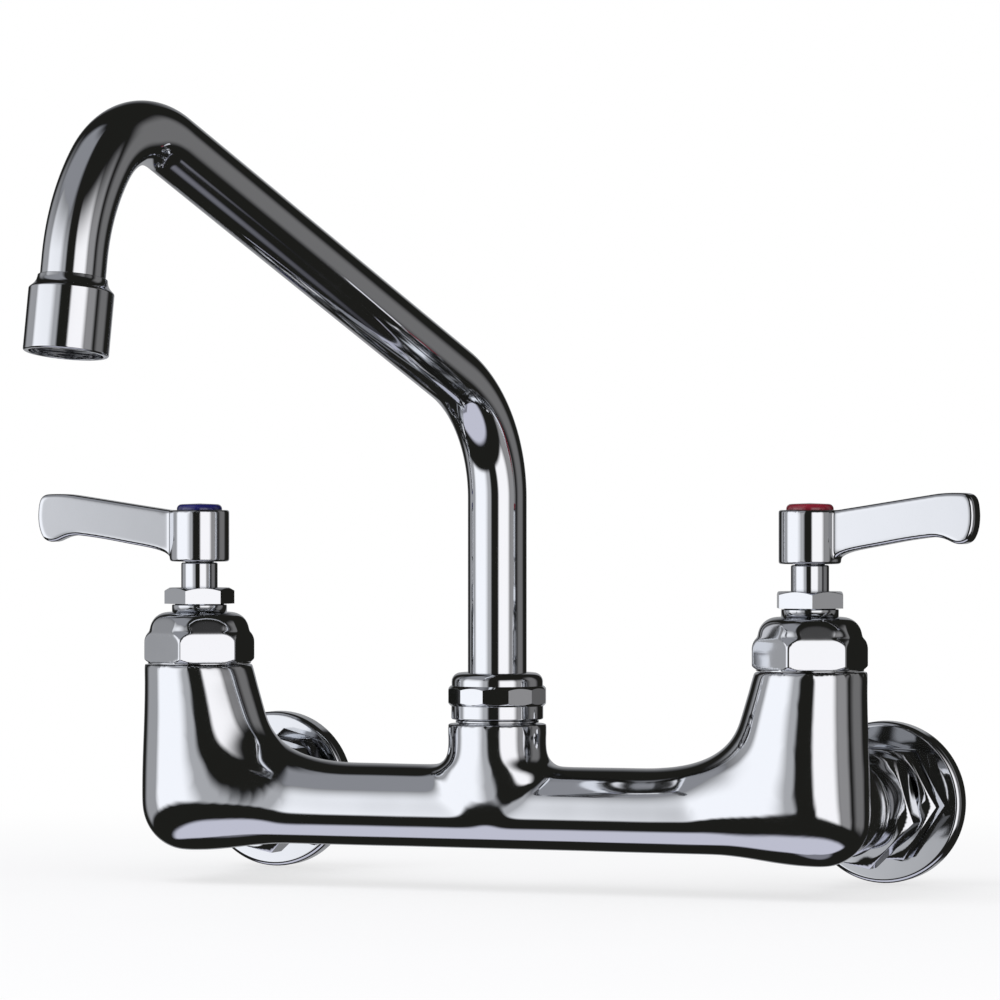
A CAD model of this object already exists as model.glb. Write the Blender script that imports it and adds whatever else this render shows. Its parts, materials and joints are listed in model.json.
import json
import math
from types import SimpleNamespace as Sizes

import bmesh
import bpy
from mathutils import Matrix, Vector
from mathutils.geometry import interpolate_bezier

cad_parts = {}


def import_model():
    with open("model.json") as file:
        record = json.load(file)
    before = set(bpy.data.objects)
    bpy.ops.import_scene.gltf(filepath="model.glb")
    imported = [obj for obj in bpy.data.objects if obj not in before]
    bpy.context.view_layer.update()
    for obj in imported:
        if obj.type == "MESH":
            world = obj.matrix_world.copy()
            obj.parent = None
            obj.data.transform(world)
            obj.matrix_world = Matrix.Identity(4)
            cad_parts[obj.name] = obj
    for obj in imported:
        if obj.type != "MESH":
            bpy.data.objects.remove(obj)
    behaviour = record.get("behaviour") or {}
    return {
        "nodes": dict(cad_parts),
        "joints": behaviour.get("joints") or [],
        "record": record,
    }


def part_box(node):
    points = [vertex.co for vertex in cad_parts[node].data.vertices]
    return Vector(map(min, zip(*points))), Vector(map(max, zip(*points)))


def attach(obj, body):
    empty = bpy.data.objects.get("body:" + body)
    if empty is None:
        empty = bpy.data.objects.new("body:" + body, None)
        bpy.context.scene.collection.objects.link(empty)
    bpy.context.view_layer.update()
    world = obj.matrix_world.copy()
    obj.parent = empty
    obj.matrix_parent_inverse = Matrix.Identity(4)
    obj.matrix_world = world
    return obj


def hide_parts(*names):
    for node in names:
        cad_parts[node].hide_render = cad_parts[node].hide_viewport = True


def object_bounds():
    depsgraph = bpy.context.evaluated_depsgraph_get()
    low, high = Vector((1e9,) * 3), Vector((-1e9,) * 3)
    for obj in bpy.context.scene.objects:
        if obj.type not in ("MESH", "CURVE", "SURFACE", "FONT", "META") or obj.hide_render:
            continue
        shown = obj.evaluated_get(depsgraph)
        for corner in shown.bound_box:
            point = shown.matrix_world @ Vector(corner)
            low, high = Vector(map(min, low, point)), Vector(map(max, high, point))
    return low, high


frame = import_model()
cad_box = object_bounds()

MM = 0.001
SIDES = {"left": -1, "right": 1}
ROUND = 96                 # sides of a full circle on a turned piece
ARC = 6                    # steps of a rounded corner
HEXAGON = 6
FAN = 140                  # steps from a column's top round to the bridge
CLEAR = 2                  # how far a cutting tool runs out past the face that it opens
LAP = 0.3                  # how far two fused shapes reach into each other
RIM_ANGLE = 38             # an edge that turns by more degrees than this gets a tiny rounding

BODY_OF = {node: body for body, nodes in frame["record"]["behaviour"]["bodies"].items() for node in nodes}
SLOT_OF = {part["node"]: part["material_slot"] for part in frame["record"]["subparts"]}
PIVOT = {joint["child"]: Vector(joint["pos_m"]) / MM for joint in frame["joints"]}

HALF_SPAN = PIVOT["right_handle"].x
WALL_TO_AXIS = -PIVOT["spout"].y

# Sizes are in millimetres, and turns and leans in degrees. Heights of the casting, the valves and the spout
# count up from the bridge's middle line, those of an inlet back from the valves' axes, and those of the
# nozzle and the aerator up from the spout's mouth.

# The casting. A column's sides are fanned sections: full width by one bearing, narrowing between two more.
COLUMN = Sizes(top=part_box("faucet_body")[1].z / MM, top_inner=16.8, top_outer=17.5, top_half_width=17.1,
               radius=18.5, half_width=18.2, side_bend=(0.5, 0.6), bottom=-16, corner=14.5,
               corner_steps=40, full_width_by=30, narrowing=(34, 66), counterbore=14.2, counterbore_floor=42)
BRIDGE = Sizes(radius=13.1, bore=8.5, gallery_end=22)
SADDLE = Sizes(slope=math.radians(17.5), start=28.7, bend=0.35, run_in=0.3, run_out=54,
               heel_bend=0.44, heel_run_in=0.61, heel_run_out=32)
BOSS = Sizes(top=26.1, radius=15.3, thread=12.3, spread=4.6, front_spread=0.08)
# Where the middle boss fades into the bridge's front: a height, how much wider it is, and how much deeper.
BOSS_FADE = [(10.1, 5.98, 0.1), (6.1, 6.44, -0.15), (2.5, 6.44, -0.7), (-1.5, 5.98, -1.6), (-5.5, 4.6, -3.1)]
INLET_BOSS = Sizes(radius=15.6, face=34, face_round=1.2, root=20, ring=14, ring_end=36.5, nipple=12.8,
                   end=48.5, end_round=1, bore=9, bore_start=4)
CHAMBER = Sizes(radius=12.6, floor=5)

# The skins that joined shapes grow: the size of their cells, the passes that even them, and the passes that
# round their hollows. On the casting those leave the rims crisp, and do less at the columns than between
# them.
CASTING_SKIN = {"cell": 0.7, "even": 6, "soft": 75}
BONNET_SKIN = {"cell": 0.3, "even": 10, "soft": 40}
LEVER_SKIN = {"cell": 0.35, "even": 2, "soft": 12}
HOLLOW = Sizes(crisp=3, fading=6, boss_rim=4, middle_to_column=(28, 42), column_share=0.65)

# A valve. The bonnet's upper flats lean in from lean_foot, and its shank holds the cartridge.
BONNET = Sizes(apothem=15.45, corner=17.84, turn={"left": 33.7, "right": 24.5}, foot=43.9, seat=16.3,
               chamfer_top=45, lean=19, lean_foot=53, lean_full=56, dome=15.8, dome_top=60, dome_round=6,
               pilot=7)
# Where the bonnet's shoulder rounds over from the corners to the dome: radii and heights.
SHOULDER = [(17.84, 50.3), (17.65, 51.4), (17.2, 52.4), (16.6, 53.2), (15.9, 53.9)]
SHANK = Sizes(bottom=6, skirt=10.6, skirt_bore=9.2, skirt_roof=22.5, thread=12.3, thread_foot=26, lead_in=1,
              flange=16.4, flange_foot=43.6, flange_round=0.1, core=9, neck=8.75, neck_top=62.3,
              neck_round=0.3, packing_thread=7.8, top=66, cup=7.05, cup_floor=63, stem_bore=6.3)
PACKING = Sizes(apothem=9.7, corner=11.2, turn={"left": 31, "right": 51}, foot=62.6, shoulder=66.7, top=67.7,
                crown=9.5, thread=8.1, thread_top=66.4, stem_bore=6.1)
GASKET = Sizes(inner=12.8, outer=13.7, edge_round=0.2)
STEM = Sizes(disc=8.6, disc_foot=14.9, disc_top=22, radius=5.8, groove=4.55, groove_foot=35, groove_top=37,
             shoulder=75.7, shoulder_round=0.5, spline_root=4.05, top=83, screw_bore=2, screw_floor=71.7)
TANG = Sizes(length=13, width=3, bottom=13.7, top=16.1)
TOOTH = Sizes(count=12, radius=4.15, depth=0.8, width=1, foot=75)
HUB = Sizes(radius=9.5, bottom=76, bottom_round=0.7, top=92.4, top_round=0.6, button_seat=7.6,
            seat_floor=91.2, screw_well=5, well_floor=85.7, screw_hole=2.3, socket=4.9, socket_roof=83.6)
LEVER = Sizes(thickness=6.8, edge=1.2, sharper_than=60, root_depth=15, root_fillet=(1.5, 3.5),
              turn={"left": 185, "right": -5})
BUTTON = Sizes(stud=4.5, stud_foot=89.4, radius=7.25, underside=91.5, rim=7.15, rim_top=94.2, rim_round=1.5,
               crown=94.5)

# The spout, its nut and the sleeve that it turns in.
NUT = Sizes(sides=12, corner=15.6, turn=4, foot=27.4, collar=14.3, collar_round=0.5, collar_top=31.6,
            band=14.5, flats_foot=32.7, flats_top=36.7, neck_foot=37.8, neck=14.2, top=41.9, neck_round=2.8,
            hole=9.3, lip_foot=40.3, ring_room=11.5, thread_top=38.5, thread=12.7)
ADAPTER = Sizes(foot=12, thread=12, flange=12.95, flange_foot=26.4, flange_top=27.1, nose=12.35,
                nose_round=0.6, top=36.2, bore=9.6, bore_floor=14.4, waterway=8)
SPOUT = Sizes(tube=9.15, bore=7.9, start=38.8, riser=122.9, slope=math.radians(24.9), reach=176.8,
              lower_bend=42, upper_bend=24.2, end_droop=math.radians(36.6), end_bend=58.6,
              droop=math.radians(8), mouth=135.6, turn=-105)
# The nozzle's shoulder leaves the barrel and meets the collar by curve handles of these offsets.
NOZZLE = Sizes(radius=11.95, mouth_round=0.6, length=17.6, taper=3.9, leave=(-0.75, 1), meet=(0.15, -2.6),
               collar=9.75, socket=9.3, socket_floor=12.6, waterway=8.3, chamber=10.4, chamber_roof=11.6,
               tube_end=13)
AERATOR = Sizes(radius=9.9, bottom=2.4, top=9.6, middle_hole=2.6, channels=8, channel=1.9, ring=6.4)

# An inlet.
UNION = Sizes(apothem=17.65, corner=20.38, turn=14, front=42.5, back=54, face=17.35, chamfer=1.76,
              thread=13.2, thread_end=52.7, bore=10.8)
COUPLING = Sizes(apothem=17, corner=19.63, turn=2.3, front=57.5, back=65, face=16.7, chamfer=1.7, offset=3.2,
                 flange=12.4, flange_front=50.4, flange_back=52.4, tail=10.3, tail_bore=8, tail_bore_end=61,
                 sleeve=13.6, sleeve_end=72.7, socket=10.4, socket_start=60)
FLANGE = Sizes(hole=14, front=66.2, radius=25.6, front_round=1.6, rim_round=0.3, hollow=23.4,
               hollow_floor=68)


# ---------------------------------------------------------------- materials
def linear(code):
    """An sRGB hex colour as Blender's linear one."""
    levels = [int(code[i:i + 2], 16) / 255 for i in (1, 3, 5)]
    return (*[v / 12.92 if v <= 0.04045 else ((v + 0.055) / 1.055) ** 2.4 for v in levels], 1)


def per(size_mm):
    """The scale of a pattern whose features are so many millimetres apart."""
    return 1 / (size_mm * MM)


def feed(tree, node, inputs):
    """Fills a shader node's inputs. Each takes a value, or another node's output as a link."""
    for name, value in inputs.items():
        if isinstance(value, bpy.types.NodeSocket):
            tree.links.new(value, node.inputs[name])
        else:
            node.inputs[name].default_value = value


def add(tree, kind, inputs, **settings):
    """Adds a shader node with its settings and inputs."""
    made = tree.nodes.new("ShaderNode" + kind)
    for name, value in settings.items():
        setattr(made, name, value)
    feed(tree, made, inputs)
    return made


def material(name):
    """A new material with its Principled shader and the object's own coordinates."""
    made = bpy.data.materials.new(name)
    made.use_nodes = True
    tree = made.node_tree
    shader = tree.nodes["Principled BSDF"]
    place = add(tree, "TexCoord", {}).outputs["Object"]
    return made, tree, shader, place


def chrome(name, ripple_mm, ripple_height_mm):
    """Bright chrome over polished brass: a nearly perfect mirror that still shows the buffing wheel's long
    ripples, a faint haze of fine scratches and the dull patches that fingers leave. The scratches are drawn
    coarser than real ones, at half a millimetre."""
    made, tree, shader, place = material(name)
    ripple = add(tree, "TexNoise", {"Vector": place, "Scale": per(ripple_mm), "Detail": 1.5,
                                    "Roughness": 0.4})
    scratch = add(tree, "TexNoise", {"Vector": place, "Scale": per(0.5), "Detail": 2})
    touch = add(tree, "TexNoise", {"Vector": place, "Scale": per(26), "Detail": 4, "Roughness": 0.6})
    haze = add(tree, "MapRange", {"Value": touch.outputs["Fac"], "From Min": 0.42, "From Max": 0.72,
                                  "To Min": 0.035, "To Max": 0.085})
    grain = add(tree, "Bump", {"Height": scratch.outputs["Fac"], "Strength": 1, "Distance": 0.0004 * MM})
    wave = add(tree, "Bump", {"Height": ripple.outputs["Fac"], "Strength": 1,
                              "Distance": ripple_height_mm * MM, "Normal": grain.outputs["Normal"]})
    feed(tree, shader, {"Base Color": linear("#DEE0E4"), "Metallic": 1, "Roughness": haze.outputs["Result"],
                        "Normal": wave.outputs["Normal"]})
    return made


def turned_brass():
    """Free-cutting brass straight off the lathe: warm yellow with the tool's rings and a little tarnish. The
    rings are drawn 2.2 mm apart, coarser than real ones: a wave texture of scale 1 runs 20 radians a metre,
    and these run a radian every 0.35 mm."""
    made, tree, shader, place = material("turned_brass")
    tarnish = add(tree, "TexNoise", {"Vector": place, "Scale": per(6), "Detail": 5})
    tone = add(tree, "Mix", {"Factor": tarnish.outputs["Fac"], "A": linear("#D8B565"),
                             "B": linear("#A98642")}, data_type="RGBA")
    rings = add(tree, "TexWave", {"Vector": place, "Scale": per(0.35) / 20, "Distortion": 0.4},
                wave_type="BANDS", bands_direction="Z")
    relief = add(tree, "Bump", {"Height": rings.outputs["Fac"], "Strength": 0.5, "Distance": 0.02 * MM})
    dull = add(tree, "MapRange", {"Value": tarnish.outputs["Fac"], "To Min": 0.22, "To Max": 0.42})
    feed(tree, shader, {"Base Color": tone.outputs["Result"], "Metallic": 1,
                        "Roughness": dull.outputs["Result"], "Normal": relief.outputs["Normal"]})
    return made


def mottled(name, light, dark, patch_mm, grain_mm, depth_mm, roughness, metallic=0.0, coat=0.0):
    """A plain solid whose colour drifts between two close tones in patches, with a fine grain of the given
    depth that catches the light."""
    made, tree, shader, place = material(name)
    patch = add(tree, "TexNoise", {"Vector": place, "Scale": per(patch_mm), "Detail": 4})
    tone = add(tree, "Mix", {"Factor": patch.outputs["Fac"], "A": linear(light), "B": linear(dark)},
               data_type="RGBA")
    grain = add(tree, "TexNoise", {"Vector": place, "Scale": per(grain_mm), "Detail": 3})
    relief = add(tree, "Bump", {"Height": grain.outputs["Fac"], "Strength": 0.6, "Distance": depth_mm * MM})
    gloss = add(tree, "MapRange", {"Value": grain.outputs["Fac"], "To Min": roughness * 0.8,
                                   "To Max": roughness * 1.25})
    feed(tree, shader, {"Base Color": tone.outputs["Result"], "Metallic": metallic,
                        "Roughness": gloss.outputs["Result"], "Normal": relief.outputs["Normal"],
                        "Coat Weight": coat, "Coat Roughness": 0.05})
    return made


# Chrome ripples as the metal under it does: in long swells over a polished casting and a drawn tube, and in
# short faint ones over a turned piece.
CHROME_CAST = chrome("chrome_on_polished_casting", ripple_mm=17, ripple_height_mm=0.05)
CHROME_TUBE = chrome("chrome_on_drawn_tube", ripple_mm=30, ripple_height_mm=0.04)
FINISH = {
    "chrome_plate": chrome("chrome_on_turned_brass", ripple_mm=9, ripple_height_mm=0.012),
    "raw_brass": turned_brass(),
    # Stainless socket screw: grey, satin from heading, with faint die marks.
    "steel_screw": mottled("stainless_screw_steel", "#B4B7BC", "#989CA2", patch_mm=3, grain_mm=0.2,
                           depth_mm=0.01, roughness=0.3, metallic=1),
    # Lapped alumina: near-white, dense and cool, with a soft satin sheen.
    "ceramic": mottled("lapped_alumina", "#F2F0EA", "#E2DED5", patch_mm=5, grain_mm=0.1, depth_mm=0.003,
                       roughness=0.28),
    # Nitrile rubber: deep grey-black with the mould's fine matt texture.
    "black_rubber": mottled("moulded_nitrile_rubber", "#242427", "#171719", patch_mm=4, grain_mm=0.15,
                            depth_mm=0.02, roughness=0.62),
    # Natural nylon: milky, slightly yellow, soft-edged gloss.
    "nylon": mottled("moulded_nylon", "#E9E5D9", "#D8D2C2", patch_mm=4, grain_mm=0.3, depth_mm=0.008,
                     roughness=0.42),
    # Vulcanised fibre: dull brick red, flecked like card.
    "fibre_seal": mottled("vulcanised_fibre", "#8E4434", "#6B2E22", patch_mm=1.5, grain_mm=0.2,
                          depth_mm=0.03, roughness=0.8),
    # Gloss enamel in the cold button: navy that goes nearly black away from the light.
    "cold_index": mottled("navy_gloss_enamel", "#20206A", "#181850", patch_mm=5, grain_mm=0.6,
                          depth_mm=0.004, roughness=0.22, coat=1),
    # Gloss enamel in the hot button: deep crimson.
    "hot_index": mottled("crimson_gloss_enamel", "#8A1F31", "#6F1526", patch_mm=5, grain_mm=0.6,
                         depth_mm=0.004, roughness=0.22, coat=1),
}
# The flow straightener's moulded plastic: charcoal, slightly glossy, grained by the tool.
DARK_PLASTIC = mottled("moulded_charcoal_plastic", "#4A4A4D", "#3A3A3D", patch_mm=3, grain_mm=0.25,
                       depth_mm=0.01, roughness=0.4)


# ---------------------------------------------------------------- shaping, in millimetres
def turned(corners):
    """Spins a half section of [radius, height, rounding] corners about +Z. A section that doesn't touch the
    axis is joined end to end, which leaves its bore open."""
    bm = bmesh.new()
    verts = [bm.verts.new((corner[0], 0, corner[1])) for corner in corners]
    for start, end in zip(verts, verts[1:]):
        bm.edges.new((start, end))
    if corners[0][0] > 0:
        bm.edges.new((verts[-1], verts[0]))
    for vert, corner in zip(verts, corners):
        if len(corner) > 2:
            away = [edge.other_vert(vert).co - vert.co for edge in vert.link_edges]
            run = corner[2] / math.tan(away[0].angle(away[1]) / 2)
            bmesh.ops.bevel(bm, geom=[vert], offset=run, offset_type="OFFSET", affect="VERTICES",
                            segments=ARC, profile=0.5, material=-1)
    bmesh.ops.spin(bm, geom=bm.verts[:] + bm.edges[:], cent=(0, 0, 0), axis=(0, 0, 1), angle=math.tau,
                   steps=ROUND, use_merge=True)
    bmesh.ops.remove_doubles(bm, verts=bm.verts[:], dist=1e-4)
    bmesh.ops.recalc_face_normals(bm, faces=bm.faces[:])
    return bm


def wrench_flats(bm, count, apothem, turn, lean=0, foot=0):
    """Planes the flats onto a turned nut, the first corner at the given turn. What is left of the turned
    chamfers shows as arcs. Flats that lean inwards do so from the height of their foot."""
    for k in range(count):
        angle = math.radians(turn) + (k + 0.5) * math.tau / count
        out = Vector((math.cos(angle), math.sin(angle), 0))
        facing = out * math.cos(math.radians(lean)) + Vector((0, 0, math.sin(math.radians(lean))))
        planed = bmesh.ops.bisect_plane(bm, geom=bm.verts[:] + bm.edges[:] + bm.faces[:], dist=1e-5,
                                        plane_co=out * apothem + Vector((0, 0, foot)), plane_no=facing,
                                        clear_outer=True)
        rim = [part for part in planed["geom_cut"] if isinstance(part, bmesh.types.BMEdge)]
        bmesh.ops.contextual_create(bm, geom=rim)
    bmesh.ops.recalc_face_normals(bm, faces=bm.faces[:])
    return bm


def chamfered(nut):
    """The outer corners of a hexagon's turned blank, chamfered at both ends."""
    return [[nut.face, nut.front], [nut.corner, nut.front + nut.chamfer],
            [nut.corner, nut.back - nut.chamfer], [nut.face, nut.back]]


def rod(radius, bottom, top):
    return turned([[0, bottom], [radius, bottom], [radius, top], [0, top]])


def block(length, width, bottom, top):
    bm = bmesh.new()
    middle = shift(0, 0, (bottom + top) / 2)
    bmesh.ops.create_cube(bm, size=1, matrix=middle @ Matrix.Diagonal((length, width, top - bottom, 1)))
    return bm


def spot(centre, along, across):
    """Where a unit circle goes to become the ellipse with those two half axes."""
    made = Matrix((along, across, along.cross(across).normalized())).transposed().to_4x4()
    made.translation = centre
    return made


def loft(spots, segments=64, capped=True):
    """Draws a circle out from one spot to the next."""
    bm = bmesh.new()
    bmesh.ops.create_circle(bm, cap_ends=False, segments=segments, radius=1, matrix=spots[0])
    first = ring = bm.edges[:]
    for before, here in zip(spots, spots[1:]):
        grown = bmesh.ops.extrude_edge_only(bm, edges=ring)["geom"]
        verts = {part for part in grown if isinstance(part, bmesh.types.BMVert)}
        edges = [part for part in grown if isinstance(part, bmesh.types.BMEdge)]
        ring = [edge for edge in edges if verts.issuperset(edge.verts)]
        bmesh.ops.transform(bm, matrix=here @ before.inverted(), verts=list(verts))
    if capped:
        for end in (first, ring):
            bmesh.ops.contextual_create(bm, geom=end)
    bmesh.ops.recalc_face_normals(bm, faces=bm.faces[:])
    return bm


def moved(bm, matrix):
    bmesh.ops.transform(bm, matrix=matrix, verts=bm.verts[:])
    return bm


def shift(x, y, z):
    return Matrix.Translation((x, y, z))


def turn_about(axis, degrees):
    return Matrix.Rotation(math.radians(degrees), 4, axis)


def as_object(bm, name):
    mesh = bpy.data.meshes.new(name)
    bm.to_mesh(mesh)
    bm.free()
    made = bpy.data.objects.new(name, mesh)
    bpy.context.scene.collection.objects.link(made)
    return made


def applied(thing):
    """Makes an object's modifiers part of its mesh."""
    seen = thing.evaluated_get(bpy.context.evaluated_depsgraph_get())
    thing.data = bpy.data.meshes.new_from_object(seen)
    thing.modifiers.clear()
    return thing


def joined(bm, others, operation):
    """Cuts or adds other shapes, one after the other."""
    thing = as_object(bm, "blank")
    tools = [as_object(other, "tool") for other in others]
    for tool in tools:
        step = thing.modifiers.new("step", "BOOLEAN")
        step.operation = operation
        step.object = tool
        step.solver = "MANIFOLD"
    applied(thing)
    made = bmesh.new()
    made.from_mesh(thing.data)
    for spent in (*tools, thing):
        bpy.data.objects.remove(spent)
    return made


def cut(bm, *others):
    return joined(bm, others, "DIFFERENCE")


def fused(bm, *others):
    return joined(bm, others, "UNION")


def blended(parts, where, cell, even, soft):
    """Grows overlapping parts into one skin of small even cells. even smoothing passes round its edges a
    little, and soft more passes round its hollows into fillets, as far as where says of each point."""
    bm = bmesh.new()
    for part in parts:
        mesh = bpy.data.meshes.new("part")
        part.to_mesh(mesh)
        part.free()
        bm.from_mesh(mesh)
        bpy.data.meshes.remove(mesh)
    skin = as_object(bm, "skin")
    grid = skin.modifiers.new("grid", "REMESH")
    grid.mode = "VOXEL"
    grid.voxel_size = cell
    applied(skin)
    group = skin.vertex_groups.new(name="fillets")
    for vert in skin.data.vertices:
        weight = where(vert.co)
        if weight > 0:
            group.add([vert.index], weight, "REPLACE")
    for passes, mask in ((even, ""), (soft, group.name)):
        ease = skin.modifiers.new("ease", "SMOOTH")
        ease.factor = 0.5
        ease.iterations = passes
        ease.vertex_group = mask
    applied(skin)
    made = bmesh.new()
    made.from_mesh(skin.data)
    bpy.data.objects.remove(skin)
    return made


def finished(node, bm, place, finish=None, edge=0.2):
    """Puts a piece in its place in metres, where it stands for its CAD node. edge is the width, in
    millimetres, of the tiny rounding on its sharp edges, or 0 for none."""
    moved(bm, Matrix.Scale(MM, 4) @ place)
    for face in bm.faces:
        face.smooth = True
    piece = as_object(bm, node + "_fine")
    if edge:
        rounding = piece.modifiers.new("rounding", "BEVEL")
        rounding.limit_method = "ANGLE"
        rounding.angle_limit = math.radians(RIM_ANGLE)
        rounding.width = edge * MM
        rounding.segments = 2
        shading = piece.modifiers.new("shading", "WEIGHTED_NORMAL")
        shading.keep_sharp = False
    piece.data.materials.append(finish or FINISH[SLOT_OF[node]])
    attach(piece, BODY_OF[node])
    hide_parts(node)
    return piece


def smoothstep(value, low, high):
    share = min(max((value - low) / (high - low), 0), 1)
    return share * share * (3 - 2 * share)


# ---------------------------------------------------------------- the body casting
def curved(*corners, steps=80):
    """Points along the Bezier curve with these four corners, in a side view."""
    flat = [Vector(corner).to_3d() for corner in corners]
    return [point.to_2d() for point in interpolate_bezier(*flat, steps)]


def inner_rail():
    """The side view of a column's inner side, from its top down the slope and out onto the bridge. The first
    number runs from the column's axis towards the middle of the faucet, the second up."""
    def on_slope(height):
        return Vector((COLUMN.top_inner + (COLUMN.top - height) * math.tan(SADDLE.slope), height))

    start, corner = on_slope(SADDLE.start), on_slope(BRIDGE.radius)
    end = Vector((SADDLE.run_out, BRIDGE.radius))
    return [on_slope(COLUMN.top),
            *curved(start, corner.lerp(start, SADDLE.bend), corner.lerp(end, SADDLE.run_in), end)]


def outer_rail():
    """The side view of a column's outer side, round its bottom corner and along under the bridge."""
    start = Vector((-COLUMN.top_outer, COLUMN.top))
    foot = Vector((-COLUMN.radius, COLUMN.bottom + COLUMN.corner))
    heel = Vector((COLUMN.corner - COLUMN.radius, COLUMN.bottom))
    toe = Vector((SADDLE.heel_run_out, -BRIDGE.radius))
    upper, lower = [start.lerp(foot, share).y for share in COLUMN.side_bend]
    turns = [math.pi / 2 * k / COLUMN.corner_steps for k in range(1, COLUMN.corner_steps + 1)]
    round_foot = [Vector((heel.x - COLUMN.corner * math.cos(turn), foot.y - COLUMN.corner * math.sin(turn)))
                  for turn in turns]
    return [*curved(start, (start.x, upper), (foot.x, lower), foot), *round_foot,
            *curved(heel, (heel.lerp(toe, SADDLE.heel_bend).x, heel.y),
                    (heel.lerp(toe, SADDLE.heel_run_in).x, toe.y), toe)[1:],
            Vector((SADDLE.run_out, toe.y))]


def crossing(rail, pivot, bearing):
    """Where a rail first meets the line that leaves the pivot at a bearing."""
    def bearing_of(point):
        return math.atan2(pivot.y - point.y, pivot.x - point.x)

    for start, end in zip(rail, rail[1:]):
        low, high = bearing_of(start), bearing_of(end)
        if high >= bearing - 1e-9:
            return start.lerp(end, min(max((bearing - low) / max(high - low, 1e-9), 0), 1))
    return rail[-1]


def column_spots(side):
    """Sections that fan out from a point above the bridge: flat across the column's top to begin with, and
    upright across the bridge at the end."""
    pivot = Vector((SADDLE.run_out, COLUMN.top))
    inner, outer = inner_rail(), outer_rail()
    spots = []
    for k in range(FAN + 1):
        bearing = math.pi / 2 * k / FAN
        near, far = [Vector((side * (HALF_SPAN - point.x), -WALL_TO_AXIS, point.y))
                     for point in (crossing(inner, pivot, bearing), crossing(outer, pivot, bearing))]
        swelling = smoothstep(math.degrees(bearing), 0, COLUMN.full_width_by)
        narrowing = smoothstep(math.degrees(bearing), *COLUMN.narrowing)
        wide = COLUMN.top_half_width + (COLUMN.half_width - COLUMN.top_half_width) * swelling
        wide += (BRIDGE.radius - wide) * narrowing
        spots.append(spot((near + far) / 2, (far - near) / 2, Vector((0, wide, 0))))
    return spots


def boss_spots():
    """The middle boss: round at the top, spreading onto the bridge, fading into its front further down."""
    sections = [(BOSS.top, 0, 0)]
    for turn in range(0, 91, 10):
        flare = BOSS.spread * (1 - math.cos(math.radians(turn)))
        height = BRIDGE.radius + BOSS.spread * (1 - math.sin(math.radians(turn)))
        sections.append((height, flare, flare * BOSS.front_spread))
    return [spot(Vector((0, -WALL_TO_AXIS, height)), Vector((BOSS.radius + wider, 0, 0)),
                 Vector((0, BOSS.radius + deeper, 0))) for height, wider, deeper in sections + BOSS_FADE]


def inlet_place(side):
    """Carries a piece modelled about +Z to an inlet, whose axis runs from the column back to the wall."""
    return shift(side * HALF_SPAN, -WALL_TO_AXIS, 0) @ turn_about("X", -90)


def near_a_hollow(point):
    """1 where parts of the casting meet in a hollow, 0 at the rims that stay crisp."""
    if abs(point.x) < BOSS.radius + 1 and point.z > BOSS.top - HOLLOW.boss_rim:
        return 0
    face = INLET_BOSS.face - WALL_TO_AXIS
    top = 1 - smoothstep(point.z, COLUMN.top - HOLLOW.fading, COLUMN.top - HOLLOW.crisp)
    back = 1 - smoothstep(point.y, face - HOLLOW.fading, face - HOLLOW.crisp)
    aside = smoothstep(abs(point.x), *HOLLOW.middle_to_column)
    return top * back * (1 - (1 - HOLLOW.column_share) * aside)


def faucet_body():
    """Columns, bridge and bosses grown into one skin, with the inlets' threaded ends on it, then bored."""
    parts = [loft(column_spots(-1) + column_spots(1)[::-1], ROUND), loft(boss_spots())]
    nipples, bores = [], []
    for side in SIDES.values():
        inlet, column = inlet_place(side), shift(side * HALF_SPAN, -WALL_TO_AXIS, 0)
        parts.append(moved(turned([
            [0, 0], [INLET_BOSS.radius, 0], [INLET_BOSS.radius, INLET_BOSS.face, INLET_BOSS.face_round],
            [0, INLET_BOSS.face],
        ]), inlet))
        nipples.append(moved(turned([
            [0, INLET_BOSS.root], [INLET_BOSS.ring, INLET_BOSS.root],
            [INLET_BOSS.ring, INLET_BOSS.ring_end], [INLET_BOSS.nipple, INLET_BOSS.ring_end],
            [INLET_BOSS.nipple, INLET_BOSS.end, INLET_BOSS.end_round], [0, INLET_BOSS.end],
        ]), inlet))
        bores += [
            moved(rod(INLET_BOSS.bore, INLET_BOSS.bore_start, INLET_BOSS.end + CLEAR), inlet),
            moved(rod(CHAMBER.radius, CHAMBER.floor, COLUMN.top + CLEAR), column),
            moved(rod(COLUMN.counterbore, COLUMN.counterbore_floor, COLUMN.top + CLEAR), column),
        ]
    middle = shift(0, -WALL_TO_AXIS, 0)
    half = HALF_SPAN - BRIDGE.gallery_end
    bores.append(moved(rod(BRIDGE.bore, -half, half), middle @ turn_about("Y", 90)))
    bores.append(moved(rod(BOSS.thread, 0, BOSS.top + CLEAR), middle))
    casting = blended(parts, near_a_hollow, **CASTING_SKIN)
    finished("faucet_body", cut(fused(casting, *nipples), *bores), Matrix(), CHROME_CAST, edge=0)


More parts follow.
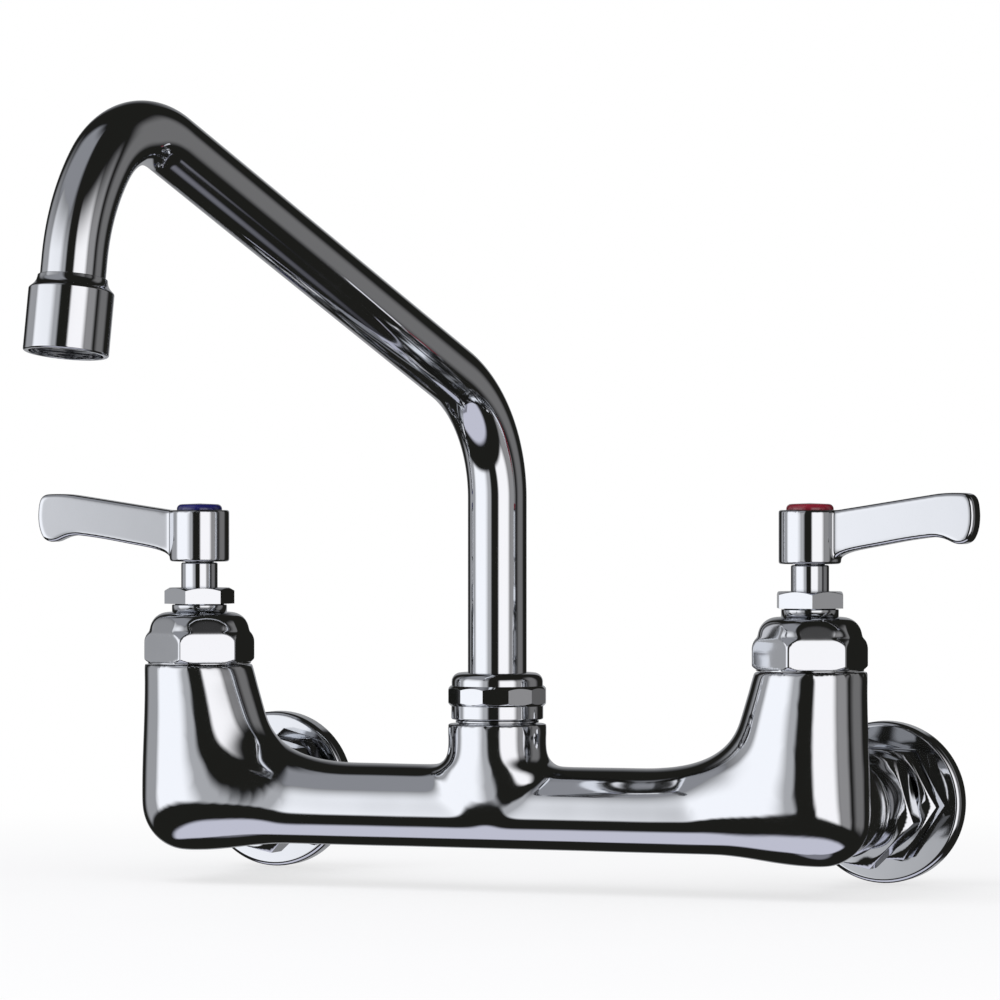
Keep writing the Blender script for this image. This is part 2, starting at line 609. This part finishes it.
# ---------------------------------------------------------------- one valve, about its own axis
def bonnet(word, place):
    """A hexagon and dome on a stepped shank."""
    head = turned([
        [0, BONNET.foot], [BONNET.seat, BONNET.foot], [BONNET.corner, BONNET.chamfer_top],
        *SHOULDER, [BONNET.dome, BONNET.dome_top, BONNET.dome_round], [0, BONNET.dome_top],
    ])
    hidden, crown = BONNET.foot + LAP, BONNET.dome_top - LAP
    shank = turned([
        [SHANK.skirt_bore, SHANK.bottom], [SHANK.skirt, SHANK.bottom], [SHANK.skirt, SHANK.thread_foot],
        [SHANK.thread, SHANK.thread_foot + SHANK.lead_in], [SHANK.thread, SHANK.flange_foot],
        [SHANK.flange, SHANK.flange_foot, SHANK.flange_round], [SHANK.flange, hidden], [SHANK.core, hidden],
        [SHANK.core, crown], [SHANK.neck, crown], [SHANK.neck, SHANK.neck_top, SHANK.neck_round],
        [SHANK.packing_thread, SHANK.neck_top], [SHANK.packing_thread, SHANK.top], [SHANK.cup, SHANK.top],
        [SHANK.cup, SHANK.cup_floor], [SHANK.stem_bore, SHANK.cup_floor],
        [SHANK.stem_bore, SHANK.skirt_roof], [SHANK.skirt_bore, SHANK.skirt_roof],
    ])
    wrench_flats(head, HEXAGON, BONNET.apothem, BONNET.turn[word])
    wrench_flats(head, HEXAGON, BONNET.apothem, BONNET.turn[word], BONNET.lean, BONNET.lean_foot)

    def on_the_dome(point):
        return smoothstep(point.z, BONNET.lean_foot, BONNET.lean_full)

    skin = blended([head], on_the_dome, **BONNET_SKIN)
    pilot = rod(BONNET.pilot, BONNET.foot - CLEAR, BONNET.dome_top + CLEAR)
    finished("bonnet_" + word, fused(cut(skin, pilot), shank), place, edge=0)


def packing_nut(word, place):
    """A hexagon cap that goes over the bonnet's neck and lets the stem through."""
    blank = turned([
        [PACKING.thread, PACKING.foot], [PACKING.corner, PACKING.foot], [PACKING.corner, PACKING.shoulder],
        [PACKING.crown, PACKING.top], [PACKING.stem_bore, PACKING.top],
        [PACKING.stem_bore, PACKING.thread_top], [PACKING.thread, PACKING.thread_top],
    ])
    nut = wrench_flats(blank, HEXAGON, PACKING.apothem, PACKING.turn[word])
    finished("packing_nut_" + word, nut, place, edge=0.3)


def bonnet_gasket(word, place):
    low, high = [corner.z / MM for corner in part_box("bonnet_gasket_" + word)]
    ring = turned([[GASKET.inner, low], [GASKET.outer, low, GASKET.edge_round],
                   [GASKET.outer, high, GASKET.edge_round], [GASKET.inner, high]])
    finished("bonnet_gasket_" + word, ring, place, edge=0)


def stem(word, place):
    """A shaft with a disc and a tang at its foot, a seal groove, and splines round the screw's hole."""
    shaft = turned([
        [0, STEM.disc_foot], [STEM.disc, STEM.disc_foot], [STEM.disc, STEM.disc_top],
        [STEM.radius, STEM.disc_top], [STEM.radius, STEM.groove_foot], [STEM.groove, STEM.groove_foot],
        [STEM.groove, STEM.groove_top], [STEM.radius, STEM.groove_top],
        [STEM.radius, STEM.shoulder, STEM.shoulder_round], [STEM.spline_root, STEM.shoulder],
        [STEM.spline_root, STEM.top], [STEM.screw_bore, STEM.top], [STEM.screw_bore, STEM.screw_floor],
        [0, STEM.screw_floor],
    ])
    tang = block(TANG.length, TANG.width, TANG.bottom, TANG.top)
    teeth = [moved(block(TOOTH.depth, TOOTH.width, TOOTH.foot, STEM.top),
                   turn_about("Z", k * 360 / TOOTH.count) @ shift(TOOTH.radius, 0, 0))
             for k in range(TOOTH.count)]
    finished("stem_" + word, fused(shaft, tang, *teeth), place, edge=0)


def lever_outline():
    """The side view of a lever's arm, outwards from the hub's axis and up from the hub's top."""
    bends = [
        [(HUB.radius, 0), (16, 0.9), (30, 3.1), (41.5, 4.8)],
        [(41.5, 4.8), (44.5, 5.2), (47.3, 5.2), (50, 5.1)],
        [(50, 5.1), (52.6, 5.1), (53.4, 3.6), (53.7, 1.6)],
        [(53.7, 1.6), (54.4, -2.6), (53.8, -6.4), (52.4, -8.6)],
        [(52.4, -8.6), (51.4, -10.2), (49, -10.7), (46.8, -9.7)],
        [(46.8, -9.7), (44.4, -8.5), (42.4, -7.9), (39.5, -8.2)],
        [(39.5, -8.2), (33, -8.9), (28, -9.9), (23, -10.8)],
        [(23, -10.8), (15, -12.2), (11, -12.7), (9, -LEVER.root_depth)],
    ]
    points = [Vector((0, -LEVER.root_depth)), Vector((0, 0))]
    for corners in bends:
        points += curved(*corners, steps=9)[:-1]
    points.append(Vector(bends[-1][-1]))
    return [Vector((point.x, 0, point.y)) for point in points]


def lever(word, place):
    """A blade drawn out of its side view, grown together with the hub that it stands on."""
    blade = bmesh.new()
    side = blade.faces.new([blade.verts.new(point) for point in lever_outline()])
    grown = bmesh.ops.extrude_face_region(blade, geom=[side])["geom"]
    bmesh.ops.translate(blade, vec=(0, LEVER.thickness, 0),
                        verts=[part for part in grown if isinstance(part, bmesh.types.BMVert)])
    moved(blade, shift(0, -LEVER.thickness / 2, HUB.top))
    bmesh.ops.recalc_face_normals(blade, faces=blade.faces[:])
    rims = [edge for edge in blade.edges if edge.calc_face_angle() > math.radians(LEVER.sharper_than)]
    bmesh.ops.bevel(blade, geom=rims, offset=LEVER.edge, offset_type="OFFSET", affect="EDGES", segments=3,
                    profile=0.5, material=-1)
    hub = turned([[0, HUB.bottom], [HUB.radius, HUB.bottom, HUB.bottom_round],
                  [HUB.radius, HUB.top, HUB.top_round], [0, HUB.top]])

    def at_the_root(point):
        off_the_hub = abs(math.hypot(point.x, point.y) - HUB.radius)
        return 1 - smoothstep(off_the_hub, *LEVER.root_fillet) if point.x > 0 else 0

    solid = blended([blade, hub], at_the_root, **LEVER_SKIN)
    under, over = HUB.bottom - CLEAR, HUB.top + CLEAR
    hollows = [rod(HUB.button_seat, HUB.seat_floor, over), rod(HUB.screw_well, HUB.well_floor, over),
               rod(HUB.screw_hole, under, over), rod(HUB.socket, under, HUB.socket_roof)]
    finished("lever_" + word, cut(solid, *hollows), place, edge=0)


def index_button(word, place):
    """A domed disc on a stud that plugs the screw's well."""
    button = turned([
        [0, BUTTON.stud_foot], [BUTTON.stud, BUTTON.stud_foot], [BUTTON.stud, BUTTON.underside],
        [BUTTON.radius, BUTTON.underside], [BUTTON.rim, BUTTON.rim_top, BUTTON.rim_round], [0, BUTTON.crown],
    ])
    finished("index_button_" + word, button, place, edge=0)


# ---------------------------------------------------------------- the spout
def spout_nut(place):
    """A twelve-sided band between a plain collar and a rounded neck."""
    blank = turned([
        [NUT.thread, NUT.foot], [NUT.collar, NUT.foot, NUT.collar_round], [NUT.collar, NUT.collar_top],
        [NUT.band, NUT.collar_top], [NUT.corner, NUT.flats_foot], [NUT.corner, NUT.flats_top],
        [NUT.band, NUT.neck_foot], [NUT.neck, NUT.neck_foot], [NUT.neck, NUT.top, NUT.neck_round],
        [NUT.hole, NUT.top], [NUT.hole, NUT.lip_foot], [NUT.ring_room, NUT.lip_foot],
        [NUT.ring_room, NUT.thread_top], [NUT.thread, NUT.thread_top],
    ])
    apothem = NUT.corner * math.cos(math.pi / NUT.sides)
    finished("spout_nut", wrench_flats(blank, NUT.sides, apothem, NUT.turn), place)


def spout_adapter(place):
    """A flanged sleeve, open from end to end."""
    sleeve = turned([
        [ADAPTER.waterway, ADAPTER.foot], [ADAPTER.thread, ADAPTER.foot],
        [ADAPTER.thread, ADAPTER.flange_foot], [ADAPTER.flange, ADAPTER.flange_foot],
        [ADAPTER.flange, ADAPTER.flange_top], [ADAPTER.nose, ADAPTER.flange_top],
        [ADAPTER.nose, ADAPTER.top, ADAPTER.nose_round], [ADAPTER.bore, ADAPTER.top],
        [ADAPTER.bore, ADAPTER.bore_floor], [ADAPTER.waterway, ADAPTER.bore_floor],
    ])
    finished("spout_adapter", sleeve, place)


def bend(corner, into, out, radius, steps):
    """Points and headings round a bend from one heading to the next."""
    angle = into.angle(out)
    start = corner - into * radius * math.tan(angle / 2)
    inward = (out - into * into.dot(out)).normalized()
    turns = [angle * k / steps for k in range(steps + 1)]
    return [(start + inward * radius * (1 - math.cos(turn)) + into * radius * math.sin(turn),
             into * math.cos(turn) + inward * math.sin(turn)) for turn in turns]


def falling(angle):
    """A heading at an angle from straight down, in the plane of the spout."""
    return Vector((math.sin(angle), 0, -math.cos(angle)))


def spout_route():
    """Points and headings along the spout's middle line, and the middle of its mouth."""
    up = Vector((0, 0, 1))
    out = Vector((math.cos(SPOUT.slope), 0, math.sin(SPOUT.slope)))
    over, down = falling(SPOUT.end_droop), falling(SPOUT.droop)
    elbow = up * SPOUT.riser
    crown = elbow + out * SPOUT.reach / math.cos(SPOUT.slope)
    lower = bend(elbow, up, out, SPOUT.lower_bend, steps=48)
    upper = bend(crown, out, over, SPOUT.upper_bend, steps=72)
    run_in = SPOUT.end_bend * math.tan((SPOUT.end_droop - SPOUT.droop) / 2)
    last = bend(upper[-1][0] + over * run_in, over, down, SPOUT.end_bend, steps=32)
    mouth = last[-1][0] + down * (last[-1][0].z - SPOUT.mouth) / math.cos(SPOUT.droop)
    foot = up * SPOUT.start
    tip = mouth - down * NOZZLE.tube_end
    # The wall stays straight a millimetre from each cut end, so that the rims don't bend its shading.
    return [(foot, up), (foot + up, up), *lower, *upper, *last[1:], (tip - down, down), (tip, down)], mouth


def spout_tube(route, place):
    """One open tube of even wall along the route."""
    across = Vector((0, SPOUT.tube, 0))
    spots = [spot(point, across, heading.cross(across)) for point, heading in route]
    tube = finished("spout_tube", loft(spots, ROUND, capped=False), place, CHROME_TUBE, edge=0)
    wall = tube.modifiers.new("wall", "SOLIDIFY")
    wall.thickness = (SPOUT.tube - SPOUT.bore) * MM
    wall.offset = -1


def outlet_nozzle(place):
    """A barrel with a swept shoulder, bored as a chamber for the aerator and a socket for the tube."""
    top = NOZZLE.length + NOZZLE.taper
    barrel, collar = Vector((NOZZLE.radius, NOZZLE.length)), Vector((NOZZLE.collar, top))
    shoulder = curved(barrel, barrel + Vector(NOZZLE.leave), collar + Vector(NOZZLE.meet), collar, steps=9)
    nozzle = turned([
        [NOZZLE.chamber, 0], [NOZZLE.radius, 0, NOZZLE.mouth_round], *shoulder, [NOZZLE.socket, top],
        [NOZZLE.socket, NOZZLE.socket_floor], [NOZZLE.waterway, NOZZLE.socket_floor],
        [NOZZLE.waterway, NOZZLE.chamber_roof], [NOZZLE.chamber, NOZZLE.chamber_roof],
    ])
    finished("outlet_nozzle", nozzle, place)


def aerator_insert(place):
    """A thick plastic disc with a hole in the middle and a ring of round channels."""
    low, high = AERATOR.bottom - CLEAR, AERATOR.top + CLEAR
    channels = [moved(rod(AERATOR.channel, low, high),
                      turn_about("Z", k * 360 / AERATOR.channels) @ shift(AERATOR.ring, 0, 0))
                for k in range(AERATOR.channels)]
    disc = rod(AERATOR.radius, AERATOR.bottom, AERATOR.top)
    middle = rod(AERATOR.middle_hole, low, high)
    finished("aerator_insert", cut(disc, middle, *channels), place, DARK_PLASTIC, edge=0.15)


# ---------------------------------------------------------------- one inlet
def union_nut(word, place):
    blank = turned([
        [UNION.thread, UNION.front], *chamfered(UNION), [UNION.bore, UNION.back],
        [UNION.bore, UNION.thread_end], [UNION.thread, UNION.thread_end],
    ])
    nut = wrench_flats(blank, HEXAGON, UNION.apothem, UNION.turn)
    finished("union_nut_" + word, nut, place, edge=0.3)


def inlet_coupling(word, side, place):
    """A flanged tail on the inlet's axis, with a hexagon and a sleeve that stand aside from it."""
    aside = shift(side * COUPLING.offset, 0, 0)
    tail = turned([
        [0, COUPLING.flange_front], [COUPLING.flange, COUPLING.flange_front],
        [COUPLING.flange, COUPLING.flange_back], [COUPLING.tail, COUPLING.flange_back],
        [COUPLING.tail, COUPLING.socket_start], [0, COUPLING.socket_start],
    ])
    blank = turned([
        [0, COUPLING.front], *chamfered(COUPLING), [COUPLING.sleeve, COUPLING.back],
        [COUPLING.sleeve, COUPLING.sleeve_end], [0, COUPLING.sleeve_end],
    ])
    hexagon = moved(wrench_flats(blank, HEXAGON, COUPLING.apothem, COUPLING.turn), aside)
    bore = rod(COUPLING.tail_bore, COUPLING.flange_front - CLEAR, COUPLING.tail_bore_end)
    socket = moved(rod(COUPLING.socket, COUPLING.socket_start, COUPLING.sleeve_end + CLEAR), aside)
    finished("inlet_coupling_" + word, cut(fused(hexagon, tail), bore, socket), place, edge=0.3)


def wall_flange(word, side, place):
    """A round cup, open to the wall, about the coupling's sleeve."""
    cup = turned([
        [FLANGE.hole, FLANGE.front], [FLANGE.radius, FLANGE.front, FLANGE.front_round],
        [FLANGE.radius, WALL_TO_AXIS, FLANGE.rim_round], [FLANGE.hollow, WALL_TO_AXIS],
        [FLANGE.hollow, FLANGE.hollow_floor], [FLANGE.hole, FLANGE.hollow_floor],
    ])
    finished("wall_flange_" + word, cup, place @ shift(side * COUPLING.offset, 0, 0))


# ---------------------------------------------------------------- assembly
faucet_body()
for word, side in SIDES.items():
    upright = shift(side * HALF_SPAN, -WALL_TO_AXIS, 0)
    handle = upright @ turn_about("Z", LEVER.turn[word])
    bonnet(word, upright)
    packing_nut(word, upright)
    bonnet_gasket(word, upright)
    stem(word, handle)
    lever(word, handle)
    index_button(word, handle)
    union_nut(word, inlet_place(side))
    inlet_coupling(word, side, inlet_place(side))
    wall_flange(word, side, inlet_place(side))

riser = shift(0, -WALL_TO_AXIS, 0)
swung = riser @ turn_about("Z", SPOUT.turn)
route, mouth = spout_route()
outlet = swung @ Matrix.Translation(mouth) @ turn_about("Y", -math.degrees(SPOUT.droop))
spout_nut(riser)
spout_adapter(riser)
spout_tube(route, swung)
outlet_nozzle(outlet)
aerator_insert(outlet)

# The seals, discs, washers, screws and rings inside stay as the CAD made them, and get their materials here.
for name, node in frame["nodes"].items():
    if not node.hide_render:
        node.data.materials.clear()
        node.data.materials.append(FINISH[SLOT_OF[name]])


# ---------------------------------------------------------------- studio, in metres
MIDDLE = (0, -0.12, 0.06)
WHITE = (1, 1, 1, 1)
COOL, SKY, WARM, PALE, UNDER = "#FBFCFF", "#F6F8FF", "#FEFCFC", "#FFFDFC", "#ECECFB"

# Light panels round the object. Azimuth 0 is in front of the faucet and 90 to its right, and elevation 0 is
# level with it, in degrees. soft is how far the left, right, lower and upper edges fade. Where panels
# overlap, the brighter one shows.
PANELS = [
    # The bright bank on the left, its dimmer spill towards the middle, and a dim one at its back edge.
    {"azimuth": (-76, -16), "elevation": (-25, 30), "soft": (9, 15, 3, 22), "level": 1.26, "tint": COOL},
    {"azimuth": (-60, -3), "elevation": (-25, 30), "soft": (5, 4, 3, 22), "level": 0.52, "tint": COOL},
    {"azimuth": (-112, -72), "elevation": (-25, 30), "soft": (9, 9, 3, 20), "level": 0.42, "tint": COOL},
    # A dim sheet above the bank, for the domes and the top of the arm.
    {"azimuth": (-95, -8), "elevation": (25, 76), "soft": (12, 9, 14, 10), "level": 0.34, "tint": SKY},
    # The bright bank on the right and its dim edge.
    {"azimuth": (26, 69), "elevation": (-25, 26), "soft": (4, 9, 3, 14), "level": 1.26, "tint": WARM},
    {"azimuth": (68, 96), "elevation": (-25, 26), "soft": (9, 6, 3, 14), "level": 0.34, "tint": WARM},
    # Two faint ones behind the object, for the far sides of the columns and the tube.
    {"azimuth": (108, 140), "elevation": (-20, 40), "soft": (9, 9, 8, 12), "level": 0.2, "tint": PALE},
    {"azimuth": (-178, -140), "elevation": (-25, 30), "soft": (3, 8, 3, 20), "level": 0.36, "tint": COOL},
    # The pale surface under the faucet, brighter in front.
    {"azimuth": (-110, 110), "elevation": (-91, -53), "soft": (6, 6, 1, 4), "level": 0.82, "tint": UNDER},
    {"azimuth": (-181, 181), "elevation": (-91, -72), "soft": (1, 1, 1, 4), "level": 0.3, "tint": UNDER},
]
TENT = Sizes(radius=4, dark="#22221F")
# The floor's shadow shows near the object and is lost in white between two distances from its middle.
FLOOR = Sizes(drop=0.0005, half=6, colour="#ECECF0", fading=(0.18, 0.5), least_white=0.7)
SOFT_LIGHT = 0.55          # strength of the world's plain light on the object
LAMPS = {
    "key": {"azimuth": -40, "elevation": 55, "distance": 1.6, "size": 1.2, "power": 14},
    "fill": {"azimuth": 60, "elevation": 40, "distance": 1.8, "size": 1.4, "power": 8},
}
# The camera stands level with the tops of the handles, a metre and a half from the riser and 21 degrees
# round to its right. It looks past the riser, which the photograph shows 2.7 pixels left of the middle, and
# the photograph's horizon is 10 pixels below its middle.
CAMERA = Sizes(azimuth=21, distance=1.5, height=HUB.top * MM, focal_px=4824, image_px=1000, riser_px=497.3,
               horizon_px=510, sensor_mm=36, nearest=0.05, furthest=50)


def window(tree, value, low, high, soft_low, soft_high):
    """1 between two angles and 0 outside them, with a soft edge of its own width at each end."""
    rise = add(tree, "MapRange", {"Value": value, "From Min": math.radians(low - soft_low),
                                  "From Max": math.radians(low + soft_low)}, interpolation_type="SMOOTHSTEP")
    fall = add(tree, "MapRange", {"Value": value, "From Min": math.radians(high - soft_high),
                                  "From Max": math.radians(high + soft_high), "To Min": 1, "To Max": 0},
               interpolation_type="SMOOTHSTEP")
    both = add(tree, "Math", {0: rise.outputs["Result"], 1: fall.outputs["Result"]}, operation="MULTIPLY")
    return both.outputs["Value"]


def studio_tent():
    """A round tent of light panels and dark gaps, which only the metal's reflections see."""
    bm = bmesh.new()
    bmesh.ops.create_uvsphere(bm, u_segments=48, v_segments=24, radius=TENT.radius,
                              matrix=Matrix.Translation(MIDDLE))
    tent = as_object(bm, "studio_tent")
    made = bpy.data.materials.new("light_panels")
    made.use_nodes = True
    tree = made.node_tree
    tree.nodes.clear()
    place = add(tree, "TexCoord", {}).outputs["Object"]
    out = add(tree, "VectorMath", {0: place, 1: MIDDLE}, operation="SUBTRACT").outputs["Vector"]
    heading = add(tree, "VectorMath", {0: out}, operation="NORMALIZE").outputs["Vector"]
    parts = add(tree, "SeparateXYZ", {"Vector": heading}).outputs
    front = add(tree, "Math", {0: parts["Y"], 1: -1}, operation="MULTIPLY").outputs["Value"]
    azimuth = add(tree, "Math", {0: parts["X"], 1: front}, operation="ARCTAN2").outputs["Value"]
    elevation = add(tree, "Math", {0: parts["Z"]}, operation="ARCSINE").outputs["Value"]
    light = linear(TENT.dark)[:3]
    for panel in PANELS:
        left, right, bottom, top = panel["soft"]
        across = window(tree, azimuth, *panel["azimuth"], left, right)
        upright = window(tree, elevation, *panel["elevation"], bottom, top)
        shape = add(tree, "Math", {0: across, 1: upright}, operation="MULTIPLY").outputs["Value"]
        full = [panel["level"] * part for part in linear(panel["tint"])[:3]]
        glow = add(tree, "VectorMath", {0: full, "Scale": shape}, operation="SCALE").outputs["Vector"]
        light = add(tree, "VectorMath", {0: light, 1: glow}, operation="MAXIMUM").outputs["Vector"]
    shine = add(tree, "Emission", {"Color": light, "Strength": 1})
    add(tree, "OutputMaterial", {"Surface": shine.outputs["Emission"]})
    tent.data.materials.append(made)
    tent.visible_camera = False
    tent.visible_diffuse = False
    tent.visible_shadow = False


def looked_along(tree):
    """1 for a ray from the camera, off a mirror or through glass, and 0 for one that only lights."""
    path = add(tree, "LightPath", {}).outputs
    seen = add(tree, "Math", {0: path["Is Camera Ray"], 1: path["Is Glossy Ray"]}, operation="MAXIMUM")
    seen = add(tree, "Math", {0: seen.outputs["Value"], 1: path["Is Transmission Ray"]}, operation="MAXIMUM")
    return seen.outputs["Value"]


def floor():
    """A pale floor that keeps a soft shadow near the object and fades to the white background further out.
    From below it is clear, so that the object's underside can be looked at."""
    height = cad_box[0].z - FLOOR.drop
    bm = bmesh.new()
    bmesh.ops.create_grid(bm, x_segments=1, y_segments=1, size=FLOOR.half,
                          matrix=Matrix.Translation((0, 0, height)))
    ground = as_object(bm, "floor")
    made, tree, shader, place = material("pale_studio_floor")
    feed(tree, shader, {"Base Color": linear(FLOOR.colour), "Roughness": 0.9, "Specular IOR Level": 0})
    middle = (MIDDLE[0], MIDDLE[1], height)
    far = add(tree, "VectorMath", {0: place, 1: middle}, operation="DISTANCE").outputs["Value"]
    start, end = FLOOR.fading
    fade = add(tree, "MapRange", {"Value": far, "From Min": start, "From Max": end,
                                  "To Min": FLOOR.least_white, "To Max": 1}, interpolation_type="SMOOTHSTEP")
    share = add(tree, "Math", {0: looked_along(tree), 1: fade.outputs["Result"]}, operation="MULTIPLY")
    white = add(tree, "Emission", {"Color": WHITE, "Strength": 1})
    top = add(tree, "MixShader", {0: share.outputs["Value"], 1: shader.outputs["BSDF"],
                                  2: white.outputs["Emission"]})
    below = add(tree, "NewGeometry", {}).outputs["Backfacing"]
    clear = add(tree, "BsdfTransparent", {}).outputs["BSDF"]
    both = add(tree, "MixShader", {0: below, 1: top.outputs["Shader"], 2: clear})
    feed(tree, tree.nodes["Material Output"], {"Surface": both.outputs["Shader"]})
    ground.data.materials.append(made)
    ground.visible_glossy = False


def world():
    """White where the camera or a mirror looks past the floor, and plain soft light for everything else."""
    made = bpy.data.worlds.new("white_studio")
    made.use_nodes = True
    tree = made.node_tree
    level = add(tree, "MapRange", {"Value": looked_along(tree), "To Min": SOFT_LIGHT, "To Max": 1})
    feed(tree, tree.nodes["Background"], {"Color": WHITE, "Strength": level.outputs["Result"]})
    bpy.context.scene.world = made


def lamp(name, azimuth, elevation, distance, size, power):
    """A soft square lamp that faces the middle of the object. The metal sees the tent and not the lamp."""
    light = bpy.data.lights.new(name, "AREA")
    light.shape = "SQUARE"
    light.size = size
    light.energy = power
    made = bpy.data.objects.new(name, light)
    turn, rise = math.radians(azimuth), math.radians(elevation)
    back = Vector((math.sin(turn) * math.cos(rise), -math.cos(turn) * math.cos(rise), math.sin(rise)))
    made.location = Vector(MIDDLE) + back * distance
    made.rotation_euler = (-back).to_track_quat("-Z", "Y").to_euler()
    made.visible_glossy = False
    bpy.context.scene.collection.objects.link(made)


def camera():
    data = bpy.data.cameras.new("camera")
    data.sensor_width = CAMERA.sensor_mm
    data.lens = CAMERA.sensor_mm * CAMERA.focal_px / CAMERA.image_px
    data.shift_x = 0.5 - CAMERA.riser_px / CAMERA.image_px
    data.shift_y = CAMERA.horizon_px / CAMERA.image_px - 0.5
    data.clip_start = CAMERA.nearest
    data.clip_end = CAMERA.furthest
    made = bpy.data.objects.new("camera", data)
    turn = math.radians(CAMERA.azimuth)
    riser_at = PIVOT["spout"] * MM
    made.location = (riser_at.x + CAMERA.distance * math.sin(turn),
                     riser_at.y - CAMERA.distance * math.cos(turn), CAMERA.height)
    made.rotation_euler = (math.pi / 2, 0, turn)
    bpy.context.scene.collection.objects.link(made)
    bpy.context.scene.camera = made


studio_tent()
floor()
world()
for name, settings in LAMPS.items():
    lamp(name, **settings)
camera()
bpy.context.scene.view_settings.view_transform = "Standard"
